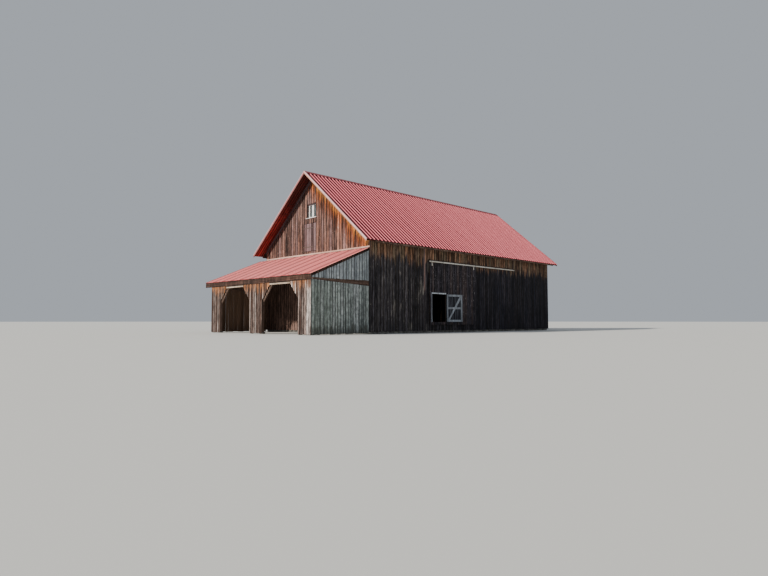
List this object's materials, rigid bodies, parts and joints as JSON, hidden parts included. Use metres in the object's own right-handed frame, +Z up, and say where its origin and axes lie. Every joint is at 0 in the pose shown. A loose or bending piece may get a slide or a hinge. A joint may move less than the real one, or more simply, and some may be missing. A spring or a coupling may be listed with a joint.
{
  "type": "timber-framed barn",
  "caption": "Timber-framed hay barn with a steep ribbed metal roof, boarded walls, a sliding door with a small hinged door in it, and an open-fronted lean-to on one gable.",
  "frame": {"origin": "centre of the bounding box at ground level", "axes": "+Z up, X along the barn's ridge with the lean-to at -X, and the wall with the sliding door facing -Y"},
  "size_m": [24.9792, 12.0256, 10.3759],
  "materials": {
    "stone": "rough",
    "frame_timber": "sawn and dark with age",
    "floor_planks": "worn",
    "roof_boards": "sawn",
    "red_metal": "weathered red paint",
    "rake_metal": "faded red paint",
    "lean_metal": "faded salmon red paint",
    "flashing": "dull",
    "edge_wood": "weathered",
    "red_soffit": "painted dark red",
    "gable_boards": "weathered grey and brown",
    "eave_boards": "dark weathered",
    "door_boards": "dark weathered",
    "door_rails": "sawn",
    "window_white": "painted white",
    "window_glass": "clear",
    "track_metal": "dull grey",
    "iron": "dull",
    "pale_wood": "worn pale",
    "lean_side": "weathered grey green",
    "lean_front": "weathered pale"
  },
  "bodies": {
    "barn": {"foundation": "stone", "floor_frame": "frame_timber", "floor_planks": "floor_planks", "posts": "frame_timber", "beams": "frame_timber", "frame_braces": "frame_timber", "wall_girts": "frame_timber", "rafters": "frame_timber", "roof_boards": "roof_boards", "roof_metal_front": "red_metal", "roof_metal_back": "red_metal", "ridge_cap": "red_metal", "rake_trims": "rake_metal", "roof_edge_boards": "edge_wood", "rake_soffits": "red_soffit", "near_gable_wall": "gable_boards", "far_gable_wall": "gable_boards", "back_wall": "eave_boards", "front_wall_left": "eave_boards", "front_wall_right": "eave_boards", "front_wall_over_door": "eave_boards", "wall_trims": "eave_boards", "window_frame": "window_white", "window_glass": "window_glass", "hay_door": "gable_boards", "track_board": "eave_boards", "door_track": "track_metal", "lean_frame": "frame_timber", "lean_rafters": "frame_timber", "lean_roof_boards": "roof_boards", "lean_roof_metal": "lean_metal", "lean_front_boards": "lean_front", "lean_header_boards": "lean_front", "lean_right_wall": "lean_side", "lean_left_wall": "lean_side", "lean_fascias": "edge_wood", "lean_flashing": "flashing"},
    "sliding_door": {"door_boards": "door_boards", "door_frame": "door_rails", "door_hangers": "track_metal", "wicket_lintel": "pale_wood", "wicket_pintles": "iron"},
    "wicket": {"wicket_boards": "door_boards", "wicket_frame": "pale_wood", "wicket_straps": "iron"}
  },
  "joints": [
    {"name": "door_slide", "type": "slide", "parent": "barn", "child": "sliding_door", "axis": [1, 0, 0], "range_m": [0, 4.85]},
    {"name": "wicket_hinge", "type": "hinge", "parent": "sliding_door", "child": "wicket", "pos_m": [-1.4074, -5.54721, 1], "axis": [0, 0, 1], "range_deg": [-171, 4]}
  ]
}
